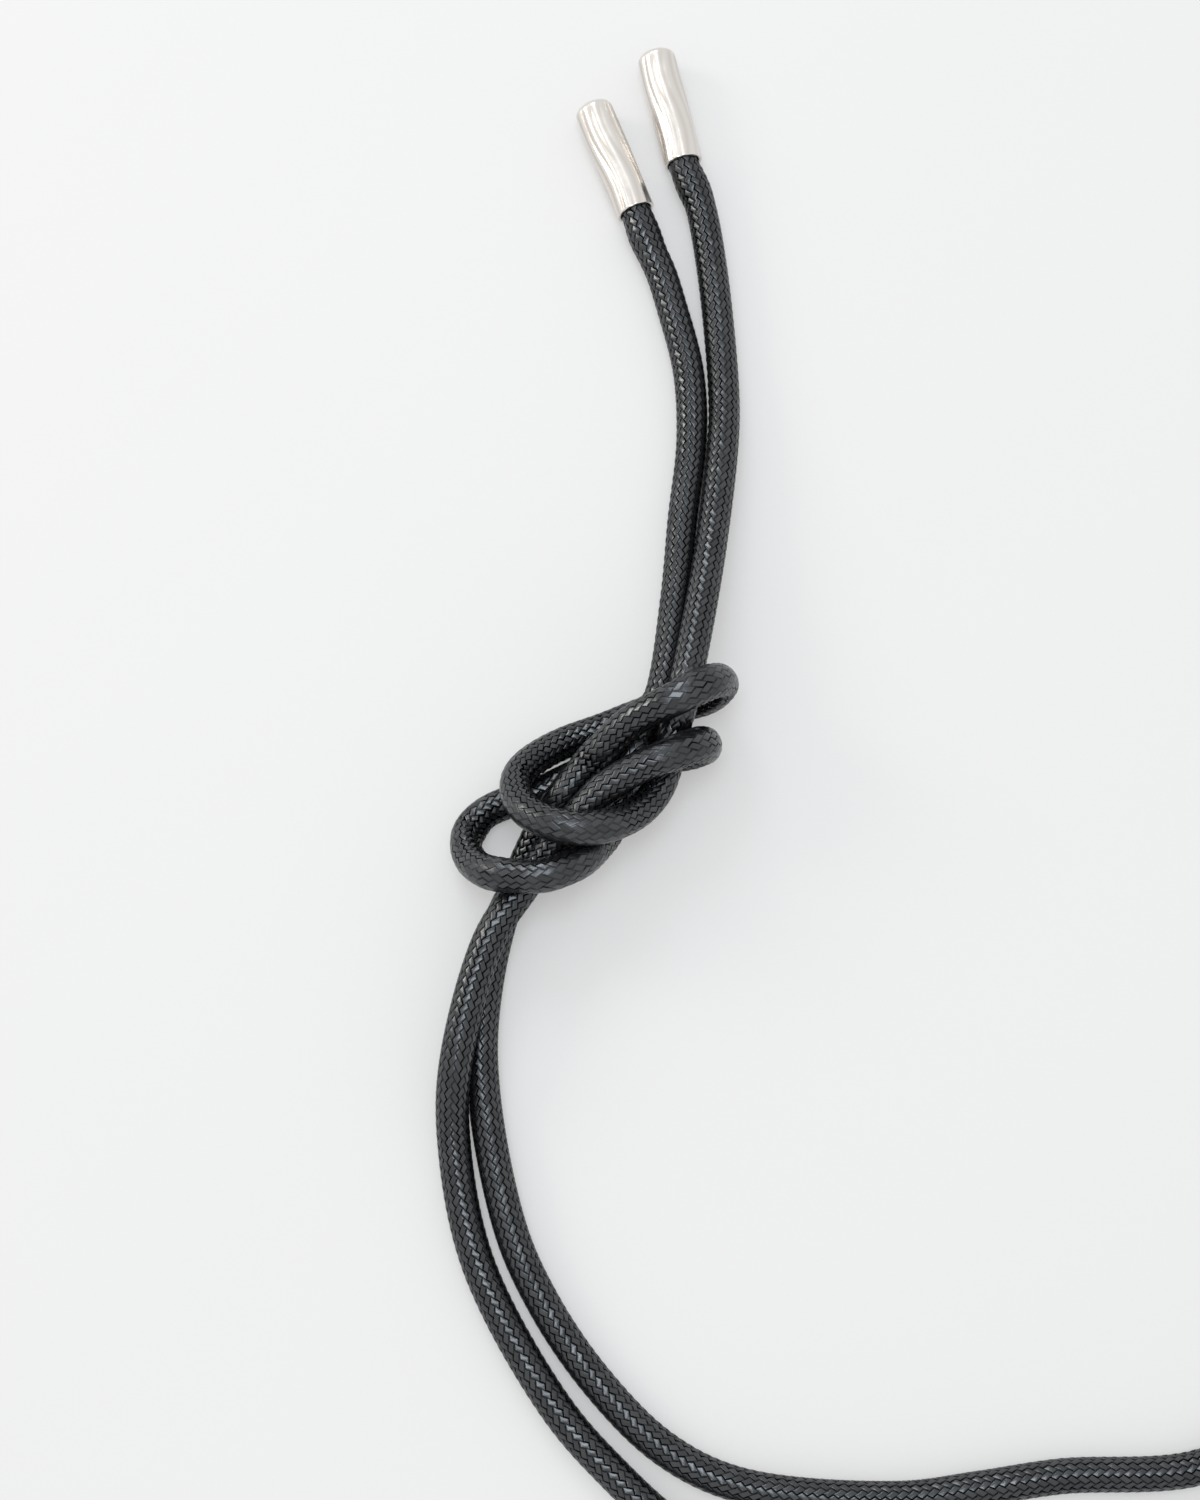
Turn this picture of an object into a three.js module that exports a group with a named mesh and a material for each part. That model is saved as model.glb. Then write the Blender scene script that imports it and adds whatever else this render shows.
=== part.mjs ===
// A black braided cord necklace laid on a table: one knotted cord with a fluted silver cap on each end.
// Millimetres, +Z up. The table top is z = 0 and the origin lies under the middle of the necklace.
import * as THREE from 'three';

// Cord
const CORD_DIAMETER = 5;
const CORD_SIDES = 10;
const STEPS_PER_SPAN = 3;

// End caps, drawn tubes with wavy flutes and a blunt tip
const CAP_LENGTH = 20.3;
const CAP_DIAMETER = 6.4;
const CAP_BARREL = 0.1;
const CAP_WIDEST_AT = 0.4;
const TIP_DEPTH = 1.7;
const TIP_SQUARENESS = 2.6;
const CORD_IN_CAP = 17;
const CORD_TO_CAP_GAP = 0.3;

// Flutes of the caps: their sway is an angle about the cap's axis, in radians
const FLUTE_COUNT = 13;
const FLUTE_DEPTH = 0.15;
const FLUTE_SWAY = 0.17;
const FLUTE_SWAY_START = 0.126;
const FLUTE_FADE = 2.6;

// Fineness of the caps
const COLUMNS_PER_FLUTE = 4;
const SIDE_ROWS = 16;
const TIP_ROWS = 6;

// Sizes that follow from those above
const CORD_RADIUS = CORD_DIAMETER / 2;
const CAP_RADIUS = CAP_DIAMETER / 2;
const BORE_RADIUS = CORD_RADIUS + CORD_TO_CAP_GAP;
const BORE_DEPTH = CORD_IN_CAP + CORD_TO_CAP_GAP;

// Where each cap lies: the middle of its mouth, and its heading from mouth to tip in degrees from +X
const LEFT_CAP = { x: -76.95, y: 96.45, heading: 111 };
const RIGHT_CAP = { x: -69.2, y: 105, heading: 103 };

// The cord's way from the left cap to the right cap, columns: x, y, z of its middle
const LEFT_TAIL = [
  [-75, 91, 2.8],
  [-72.9, 86, 2.6],
  [-71.3, 80.5, 2.5],
  [-68.7, 69.5, 2.5],
  [-68.2, 57.6, 2.6],
  [-69.7, 44, 3.5],
  [-71, 30.4, 5.1],
];
const KNOT_FROM_LEFT_TAIL = [
  [-73.5, 14.7, 7.6],
  [-75.3, 11.3, 7.6],
  [-76.8, 8.1, 7.7],
  [-78, 4.8, 7.7],
  [-78.9, 2, 6.5],
  [-80.7, -3.4, 4.7],
  [-81.9, -6.6, 5.7],
  [-83.3, -9.2, 8.4],
  [-84.9, -11.2, 10.9],
  [-86.9, -12.8, 12.4],
  [-91.2, -14.5, 13.4],
  [-97.7, -14.1, 12.1],
  [-100.1, -13.2, 10.3],
  [-102.2, -11.1, 7.3],
  [-103.2, -8.2, 4.8],
  [-102.6, -5.6, 3.2],
  [-100.3, -2.8, 2.6],
  [-91.1, 0.9, 2.5],
  [-82.8, 4.6, 2.5],
  [-76.3, 5.8, 2.5],
  [-72.3, 6, 2.6],
  [-69.4, 6.5, 3.4],
  [-67.3, 6.8, 5.5],
  [-66.6, 6.5, 8.5],
  [-67.5, 5.9, 11.6],
  [-69.8, 4.8, 13.7],
  [-72.9, 3.4, 14.4],
  [-76.8, 1.9, 13.9],
  [-82, -1.1, 12.5],
  [-86.4, -5.3, 10.7],
  [-91.1, -10.9, 8.1],
  [-94.5, -15.4, 7.6],
];
const OUTER_STRAND = [
  [-99.4, -23.2, 7.6],
  [-104.2, -41.3, 6.2],
  [-104.5, -52.8, 3.1],
  [-100.9, -70.1, 2.5],
  [-90.8, -88.7, 2.5],
  [-82.8, -98.3, 2.5],
];
const NECK_LOOP = [
  [-67.3, -110.9, 2.5],
  [-38.8, -120.1, 2.5],
  [-8, -122.6, 2.5],
  [22, -121.6, 2.5],
  [50, -116.2, 2.5],
  [75, -106, 2.5],
  [94, -87.5, 2.5],
  [103.9, -63, 2.5],
  [102.3, -36.5, 2.5],
  [89, -13, 2.5],
  [66, -2.5, 2.5],
  [44.5, -9.5, 2.5],
  [33, -29.5, 2.5],
  [31.8, -53, 2.5],
  [28.5, -75, 2.5],
  [18.5, -92, 2.5],
];
const INNER_STRAND = [
  [3.9, -99.3, 2.5],
  [-16.3, -100.6, 2.5],
  [-28, -102.3, 2.5],
  [-39.6, -103.7, 2.5],
  [-62.6, -101.8, 2.5],
  [-73.4, -96.8, 2.5],
  [-83.2, -87.4, 2.5],
  [-91.2, -76, 2.5],
  [-96.4, -64.3, 2.5],
  [-100.6, -39.1, 2.5],
  [-97.8, -19.4, 2.5],
];
const KNOT_TO_RIGHT_TAIL = [
  [-95.3, -13.9, 2.5],
  [-94.1, -10.5, 2.7],
  [-92.4, -7, 3.9],
  [-90.5, -3.8, 6],
  [-88.4, -0.9, 7.3],
  [-84.2, 3.9, 8.9],
  [-82, 5.8, 10.8],
  [-79.8, 7.7, 12.7],
  [-76.8, 9.5, 14.8],
  [-71.5, 11.7, 17],
  [-68, 13.6, 16.6],
  [-65.4, 15.2, 14.1],
  [-64.2, 16, 9.8],
  [-65, 15.3, 6.1],
  [-67.5, 14.8, 3.6],
  [-71.2, 14, 2.6],
  [-75.8, 13, 2.5],
  [-81.9, 10.6, 2.5],
  [-87.8, 8.3, 3],
  [-91.2, 6.3, 4.3],
  [-94, 3.8, 6.3],
  [-95.5, 1.1, 8.3],
  [-95.1, -2.4, 11],
  [-93.4, -5, 13.3],
  [-89.6, -7.2, 15.3],
  [-85.8, -7.8, 15.6],
  [-81.9, -7.2, 14.5],
  [-78, -5.1, 11.7],
  [-75.6, -2.8, 10.1],
  [-73.7, 0.3, 9],
  [-72.3, 5.1, 8.6],
  [-71.6, 8.4, 9.8],
];
const RIGHT_TAIL = [
  [-70.2, 13.7, 11.6],
  [-67.1, 29.4, 8.6],
  [-64.9, 43.3, 5.6],
  [-63.3, 57.3, 4.1],
  [-63.1, 66, 3],
  [-64.7, 86.7, 2.5],
  [-66.6, 98.1, 2.8],
  [-68.1, 102.1, 3],
];

const CORD_MATERIAL = new THREE.MeshStandardMaterial({ color: 0x17171a, roughness: 0.5, metalness: 0 });
const CAP_MATERIAL = new THREE.MeshStandardMaterial({ color: 0xcfccc6, roughness: 0.2, metalness: 1 });

// A smooth curve through the route's points, with as many steps between two near points as between two far
// ones, so that the tight turns of the knot are drawn finely. The cord never sinks into the table.
class CordCurve extends THREE.CatmullRomCurve3 {
  getUtoTmapping(u) {
    return u;
  }

  getPoint(t, target) {
    const point = super.getPoint(t, target);
    point.z = Math.max(point.z, CORD_RADIUS);
    return point;
  }
}

// A point on a cap's axis, at a depth behind its mouth
function pointInCap(cap, depth) {
  const heading = THREE.MathUtils.degToRad(cap.heading);
  return [cap.x + depth * Math.cos(heading), cap.y + depth * Math.sin(heading), CAP_RADIUS];
}

function cordRoute() {
  const depths = [CORD_IN_CAP, CORD_IN_CAP / 2, 0];
  const intoLeftCap = depths.map((depth) => pointInCap(LEFT_CAP, depth));
  const intoRightCap = depths.map((depth) => pointInCap(RIGHT_CAP, depth)).reverse();
  return [
    ...intoLeftCap,
    ...LEFT_TAIL,
    ...KNOT_FROM_LEFT_TAIL,
    ...OUTER_STRAND,
    ...NECK_LOOP,
    ...INNER_STRAND,
    ...KNOT_TO_RIGHT_TAIL,
    ...RIGHT_TAIL,
    ...intoRightCap,
  ].map((row) => new THREE.Vector3(...row));
}

function roundSection(radius, sides) {
  const corners = Array.from({ length: sides }, (_, corner) => {
    const angle = (2 * Math.PI * corner) / sides;
    return new THREE.Vector2(radius * Math.cos(angle), radius * Math.sin(angle));
  });
  return new THREE.Shape(corners);
}

function makeCord() {
  const route = cordRoute();
  const curve = new CordCurve(route, false, 'centripetal');
  const steps = STEPS_PER_SPAN * (route.length - 1);
  const section = roundSection(CORD_RADIUS, CORD_SIDES);
  const geometry = new THREE.ExtrudeGeometry(section, { steps, extrudePath: curve });
  const cord = new THREE.Mesh(geometry, CORD_MATERIAL);
  cord.name = 'cord';
  return cord;
}

// The cap's side swells a little and draws in towards both ends
function sideRadius(height) {
  const offset = (height / CAP_LENGTH - CAP_WIDEST_AT) / (1 - CAP_WIDEST_AT);
  return CAP_RADIUS - CAP_BARREL * offset * offset;
}

// The outside of the cap from its mouth to the middle of its tip: a barrel side, then a blunt rounded tip
function capOutside() {
  const outline = [];
  const sideTop = CAP_LENGTH - TIP_DEPTH;
  for (let row = 0; row < SIDE_ROWS; row += 1) {
    const height = (sideTop * row) / SIDE_ROWS;
    outline.push(new THREE.Vector2(sideRadius(height), height));
  }
  for (let row = 0; row <= TIP_ROWS; row += 1) {
    const turn = (Math.PI / 2) * (row / TIP_ROWS);
    const across = row === TIP_ROWS ? 0 : Math.cos(turn) ** (2 / TIP_SQUARENESS);
    const up = Math.sin(turn) ** (2 / TIP_SQUARENESS);
    outline.push(new THREE.Vector2(sideRadius(sideTop) * across, sideTop + TIP_DEPTH * up));
  }
  return outline;
}

// How deep the flutes are cut at an angle about the cap's axis and a height above its mouth
function fluteCut(angle, height) {
  const sway = FLUTE_SWAY * Math.sin((2 * Math.PI * height) / CAP_LENGTH + FLUTE_SWAY_START);
  const fade = THREE.MathUtils.smoothstep(CAP_LENGTH - height, 0, FLUTE_FADE);
  return (FLUTE_DEPTH * fade * (1 - Math.cos(FLUTE_COUNT * (angle - sway)))) / 2;
}

function makeCapGeometry() {
  const bore = [
    new THREE.Vector2(0, BORE_DEPTH),
    new THREE.Vector2(BORE_RADIUS, BORE_DEPTH),
    new THREE.Vector2(BORE_RADIUS, 0),
  ];
  const profile = [...bore, ...capOutside()];
  const geometry = new THREE.LatheGeometry(profile, FLUTE_COUNT * COLUMNS_PER_FLUTE);
  const position = geometry.attributes.position;
  for (let vertex = 0; vertex < position.count; vertex += 1) {
    const onOutside = vertex % profile.length >= bore.length;
    if (onOutside) {
      const angle = Math.atan2(position.getX(vertex), position.getZ(vertex));
      const height = position.getY(vertex);
      const radius = Math.hypot(position.getX(vertex), position.getZ(vertex)) - fluteCut(angle, height);
      position.setXYZ(vertex, radius * Math.sin(angle), height, radius * Math.cos(angle));
    }
  }
  geometry.computeVertexNormals();
  return geometry;
}

function makeCap(name, cap) {
  const mesh = new THREE.Mesh(makeCapGeometry(), CAP_MATERIAL);
  mesh.name = name;
  mesh.position.set(cap.x, cap.y, CAP_RADIUS);
  mesh.rotation.z = THREE.MathUtils.degToRad(cap.heading - 90);
  return mesh;
}

const necklace = new THREE.Group();
necklace.add(makeCord());
necklace.add(makeCap('end_cap_left', LEFT_CAP));
necklace.add(makeCap('end_cap_right', RIGHT_CAP));

export default necklace;
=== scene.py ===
"""Dresses a black braided cord necklace with fluted silver end caps, in metres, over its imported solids."""

import logging
import math
from dataclasses import dataclass, field
from enum import Enum

import bpy
import numpy as np
from mathutils import Matrix, Vector


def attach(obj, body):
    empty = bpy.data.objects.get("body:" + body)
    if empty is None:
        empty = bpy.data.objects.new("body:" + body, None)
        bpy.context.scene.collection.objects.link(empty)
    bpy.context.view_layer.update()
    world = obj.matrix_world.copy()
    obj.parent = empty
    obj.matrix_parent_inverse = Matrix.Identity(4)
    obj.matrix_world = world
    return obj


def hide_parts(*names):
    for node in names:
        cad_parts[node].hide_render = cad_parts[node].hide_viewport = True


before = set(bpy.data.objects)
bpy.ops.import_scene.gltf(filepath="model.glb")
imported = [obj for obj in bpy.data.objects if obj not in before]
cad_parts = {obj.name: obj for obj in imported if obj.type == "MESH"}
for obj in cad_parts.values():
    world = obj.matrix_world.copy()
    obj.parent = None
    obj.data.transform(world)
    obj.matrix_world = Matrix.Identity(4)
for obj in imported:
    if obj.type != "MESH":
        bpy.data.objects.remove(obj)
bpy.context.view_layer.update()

log = logging.getLogger("necklace")

BODY = "root"
BRAID_MAP = "braid"
FLUTE_LAYER = "flute"
SQUEEZE_LAYER = "squeeze"

# Places of the caps: x and y of each mouth's middle, and the heading from mouth to tip in degrees from +X
LEFT_MOUTH = (-0.07695, 0.09645)
LEFT_HEADING = 111.0
RIGHT_MOUTH = (-0.0692, 0.1050)
RIGHT_HEADING = 103.0

# The cord's way from the left cap to the right cap, columns: x, y, z of its middle
LEFT_TAIL = (
    (-0.0750, 0.0910, 0.0028),
    (-0.0729, 0.0860, 0.0026),
    (-0.0713, 0.0805, 0.0025),
    (-0.0687, 0.0695, 0.0025),
    (-0.0682, 0.0576, 0.0026),
    (-0.0697, 0.0440, 0.0035),
    (-0.0710, 0.0304, 0.0051),
)
KNOT_FROM_LEFT_TAIL = (
    (-0.0735, 0.0147, 0.0076),
    (-0.0753, 0.0113, 0.0076),
    (-0.0768, 0.0081, 0.0077),
    (-0.0780, 0.0048, 0.0077),
    (-0.0789, 0.0020, 0.0065),
    (-0.0807, -0.0034, 0.0047),
    (-0.0819, -0.0066, 0.0057),
    (-0.0833, -0.0092, 0.0084),
    (-0.0849, -0.0112, 0.0109),
    (-0.0869, -0.0128, 0.0124),
    (-0.0912, -0.0145, 0.0134),
    (-0.0977, -0.0141, 0.0121),
    (-0.1001, -0.0132, 0.0103),
    (-0.1022, -0.0111, 0.0073),
    (-0.1032, -0.0082, 0.0048),
    (-0.1026, -0.0056, 0.0032),
    (-0.1003, -0.0028, 0.0026),
    (-0.0911, 0.0009, 0.0025),
    (-0.0828, 0.0046, 0.0025),
    (-0.0763, 0.0058, 0.0025),
    (-0.0723, 0.0060, 0.0026),
    (-0.0694, 0.0065, 0.0034),
    (-0.0673, 0.0068, 0.0055),
    (-0.0666, 0.0065, 0.0085),
    (-0.0675, 0.0059, 0.0116),
    (-0.0698, 0.0048, 0.0137),
    (-0.0729, 0.0034, 0.0144),
    (-0.0768, 0.0019, 0.0139),
    (-0.0820, -0.0011, 0.0125),
    (-0.0864, -0.0053, 0.0107),
    (-0.0911, -0.0109, 0.0081),
    (-0.0945, -0.0154, 0.0076),
)
OUTER_STRAND = (
    (-0.0994, -0.0232, 0.0076),
    (-0.1042, -0.0413, 0.0062),
    (-0.1045, -0.0528, 0.0031),
    (-0.1009, -0.0701, 0.0025),
    (-0.0908, -0.0887, 0.0025),
    (-0.0828, -0.0983, 0.0025),
)
NECK_LOOP = (
    (-0.0673, -0.1109, 0.0025),
    (-0.0388, -0.1201, 0.0025),
    (-0.0080, -0.1226, 0.0025),
    (0.0220, -0.1216, 0.0025),
    (0.0500, -0.1162, 0.0025),
    (0.0750, -0.1060, 0.0025),
    (0.0940, -0.0875, 0.0025),
    (0.1039, -0.0630, 0.0025),
    (0.1023, -0.0365, 0.0025),
    (0.0890, -0.0130, 0.0025),
    (0.0660, -0.0025, 0.0025),
    (0.0445, -0.0095, 0.0025),
    (0.0330, -0.0295, 0.0025),
    (0.0318, -0.0530, 0.0025),
    (0.0285, -0.0750, 0.0025),
    (0.0185, -0.0920, 0.0025),
)
INNER_STRAND = (
    (0.0039, -0.0993, 0.0025),
    (-0.0163, -0.1006, 0.0025),
    (-0.0280, -0.1023, 0.0025),
    (-0.0396, -0.1037, 0.0025),
    (-0.0626, -0.1018, 0.0025),
    (-0.0734, -0.0968, 0.0025),
    (-0.0832, -0.0874, 0.0025),
    (-0.0912, -0.0760, 0.0025),
    (-0.0964, -0.0643, 0.0025),
    (-0.1006, -0.0391, 0.0025),
    (-0.0978, -0.0194, 0.0025),
)
KNOT_TO_RIGHT_TAIL = (
    (-0.0953, -0.0139, 0.0025),
    (-0.0941, -0.0105, 0.0027),
    (-0.0924, -0.0070, 0.0039),
    (-0.0905, -0.0038, 0.0060),
    (-0.0884, -0.0009, 0.0073),
    (-0.0842, 0.0039, 0.0089),
    (-0.0820, 0.0058, 0.0108),
    (-0.0798, 0.0077, 0.0127),
    (-0.0768, 0.0095, 0.0148),
    (-0.0715, 0.0117, 0.0170),
    (-0.0680, 0.0136, 0.0166),
    (-0.0654, 0.0152, 0.0141),
    (-0.0642, 0.0160, 0.0098),
    (-0.0650, 0.0153, 0.0061),
    (-0.0675, 0.0148, 0.0036),
    (-0.0712, 0.0140, 0.0026),
    (-0.0758, 0.0130, 0.0025),
    (-0.0819, 0.0106, 0.0025),
    (-0.0878, 0.0083, 0.0030),
    (-0.0912, 0.0063, 0.0043),
    (-0.0940, 0.0038, 0.0063),
    (-0.0955, 0.0011, 0.0083),
    (-0.0951, -0.0024, 0.0110),
    (-0.0934, -0.0050, 0.0133),
    (-0.0896, -0.0072, 0.0153),
    (-0.0858, -0.0078, 0.0156),
    (-0.0819, -0.0072, 0.0145),
    (-0.0780, -0.0051, 0.0117),
    (-0.0756, -0.0028, 0.0101),
    (-0.0737, 0.0003, 0.0090),
    (-0.0723, 0.0051, 0.0086),
    (-0.0716, 0.0084, 0.0098),
)
RIGHT_TAIL = (
    (-0.0702, 0.0137, 0.0116),
    (-0.0671, 0.0294, 0.0086),
    (-0.0649, 0.0433, 0.0056),
    (-0.0633, 0.0573, 0.0041),
    (-0.0631, 0.0660, 0.0030),
    (-0.0647, 0.0867, 0.0025),
    (-0.0666, 0.0981, 0.0028),
    (-0.0681, 0.1021, 0.0030),
)

# The braid's lattice: a tape passes over two others and then under two, and the skin's corners take every
# other spot of half columns round the cord and quarter repeats along it
TAPES_PASSED = 2
COLUMNS_IN_TURN = 2 * TAPES_PASSED
HALVES_PER_COLUMN = 2
ROWS_PER_REPEAT = 4

Colour = tuple[float, float, float]
Point = tuple[float, float, float]
Spot = tuple[int, int]
Socket = bpy.types.NodeSocket
Feed = Socket | float


class Slot(Enum):
    """The record's material slots."""

    CORD = "braided_cord"
    SILVER = "polished_silver"


class Sum(Enum):
    """The sums that the finishes are worked out with."""

    ADD = "ADD"
    SUBTRACT = "SUBTRACT"
    MULTIPLY = "MULTIPLY"
    POWER = "POWER"
    ABSOLUTE = "ABSOLUTE"
    ROUND = "ROUND"
    ABOVE = "GREATER_THAN"
    REMAINDER = "FLOORED_MODULO"
    SMALLER = "MINIMUM"
    LARGER = "MAXIMUM"
    SINE = "SINE"


class FarEnd(Enum):
    """What the far end of a cord comes to."""

    PLUG = "plug"
    CONNECTOR = "connector"
    FITTING = "fitting"
    TOOL = "tool"
    KNOT = "knot"
    BARE = "bare"
    OBJECT = "object"


class Stiffness(Enum):
    """How stiff a cord is."""

    LIMP = "limp"
    MEDIUM = "medium"
    STIFF = "stiff"


class Lay(Enum):
    """How a cord lies."""

    LOOSE = "loose"
    HANGING = "hanging"
    COILED = "coiled"
    TAUT = "taut"


class Bench:
    """Adds and joins the nodes of one material around a single surface shader."""

    # The numbers of a mixing node's sockets for its two colours and for the mixed one
    LOW_COLOUR = 6
    HIGH_COLOUR = 7
    MIXED_COLOUR = 2

    def __init__(self, name: str) -> None:
        """Starts an empty material.

        Args:
            name: The finish's name.
        """
        self.material = bpy.data.materials.new(name)
        self.material.use_nodes = True
        self.tree = self.material.node_tree
        self.shader = self.tree.nodes["Principled BSDF"]

    def add(self, kind: str) -> bpy.types.Node:
        """Adds one node of a kind."""
        return self.tree.nodes.new(kind)

    def feed(self, socket: Socket, value: Feed | Colour) -> None:
        """Joins a socket to another, or sets it.

        Args:
            socket: The input that is fed.
            value: The output that feeds it, or its plain value.
        """
        if isinstance(value, Socket):
            self.tree.links.new(value, socket)
        else:
            socket.default_value = (*value, 1.0) if isinstance(value, tuple) else value

    def surface(self, socket: str, value: Feed | Colour) -> None:
        """Feeds one socket of the surface shader by its name."""
        self.feed(self.shader.inputs[socket], value)

    def sum(self, kind: Sum, first: Feed, second: Feed = 0.0) -> Socket:
        """Works out a sum of two values.

        Args:
            kind: Which sum it is.
            first: The first value.
            second: The second value, where the sum has one.

        Returns:
            The socket with the result.
        """
        node = self.add("ShaderNodeMath")
        node.operation = kind.value
        self.feed(node.inputs[0], first)
        self.feed(node.inputs[1], second)
        return node.outputs[0]

    def centred(self, value: Feed) -> Socket:
        """Shifts a value from 0 to 1 so that its middle comes to 0."""
        return self.sum(Sum.SUBTRACT, value, 0.5)

    def from_middle(self, value: Feed) -> Socket:
        """Gives how far out a centred value is, 1 at either end."""
        return self.sum(Sum.MULTIPLY, self.sum(Sum.ABSOLUTE, value), 2.0)

    def ramp(self, value: Feed, start: float, end: float, low: Feed, high: Feed) -> Socket:
        """Carries a value smoothly from one range to another and holds it at the ends.

        Args:
            value: The value that is read.
            start: Where the change begins.
            end: Where the change is done.
            low: The result at the start.
            high: The result at the end.

        Returns:
            The socket with the result.
        """
        node = self.add("ShaderNodeMapRange")
        node.interpolation_type = "SMOOTHSTEP"
        for socket, fed in zip(node.inputs, (value, start, end, low, high)):
            self.feed(socket, fed)
        return node.outputs[0]

    def choose(self, share: Feed, low: Feed, high: Feed) -> Socket:
        """Mixes two values by a share from 0 to 1.

        Args:
            share: How much of the second value is taken.
            low: The first value.
            high: The second value.

        Returns:
            The socket with the mixed value.
        """
        node = self.add("ShaderNodeMix")
        node.data_type = "FLOAT"
        for socket, fed in zip(node.inputs, (share, None, low, high)):
            if fed is not None:
                self.feed(socket, fed)
        return node.outputs[0]

    def tint(self, share: Feed, low: Colour, high: Colour) -> Socket:
        """Mixes two colours by a share from 0 to 1.

        Args:
            share: How much of the second colour is taken.
            low: The first colour.
            high: The second colour.

        Returns:
            The socket with the mixed colour.
        """
        node = self.add("ShaderNodeMix")
        node.data_type = "RGBA"
        self.feed(node.inputs[0], share)
        self.feed(node.inputs[self.LOW_COLOUR], low)
        self.feed(node.inputs[self.HIGH_COLOUR], high)
        return node.outputs[self.MIXED_COLOUR]

    def place(self) -> Socket:
        """Gives the surface's place in the part's own frame."""
        return self.add("ShaderNodeTexCoord").outputs["Object"]

    def layer(self, name: str) -> Socket:
        """Gives the value that the mesh keeps in one of its own layers.

        Args:
            name: The layer's name.

        Returns:
            The socket with the value.
        """
        node = self.add("ShaderNodeAttribute")
        node.attribute_name = name
        return node.outputs["Fac"]

    def grain(self, place: Socket, scale: float, detail: float = 2.0) -> Socket:
        """Makes a soft uneven pattern.

        Args:
            place: Where on the surface it is read.
            scale: How many lumps there are to a metre.
            detail: How many finer layers lie over it.

        Returns:
            The socket with the pattern, from 0 to 1.
        """
        node = self.add("ShaderNodeTexNoise")
        self.feed(node.inputs["Vector"], place)
        self.feed(node.inputs["Scale"], scale)
        self.feed(node.inputs["Detail"], detail)
        return node.outputs[0]

    def chance(self, number: Socket) -> Socket:
        """Gives each number its own steady value.

        Args:
            number: The number.

        Returns:
            The socket with the value, from 0 to 1.
        """
        node = self.add("ShaderNodeTexWhiteNoise")
        node.noise_dimensions = "1D"
        self.feed(node.inputs["W"], number)
        return node.outputs[0]

    def relief(self, height: Socket, depth: float) -> None:
        """Raises the surface by a height.

        Args:
            height: The relief, where 1 stands one depth high.
            depth: The depth in metres.
        """
        node = self.add("ShaderNodeBump")
        node.inputs["Strength"].default_value = 1.0
        node.inputs["Distance"].default_value = depth
        self.feed(node.inputs["Height"], height)
        self.surface("Normal", node.outputs[0])


@dataclass(frozen=True)
class TapeSpot:
    """A spot's place on the tape that is on top there, and the number of that tape's stretch."""

    rises: Socket
    across: Socket
    along: Socket
    to_border: Socket
    to_dive: Socket
    number: Socket


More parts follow.
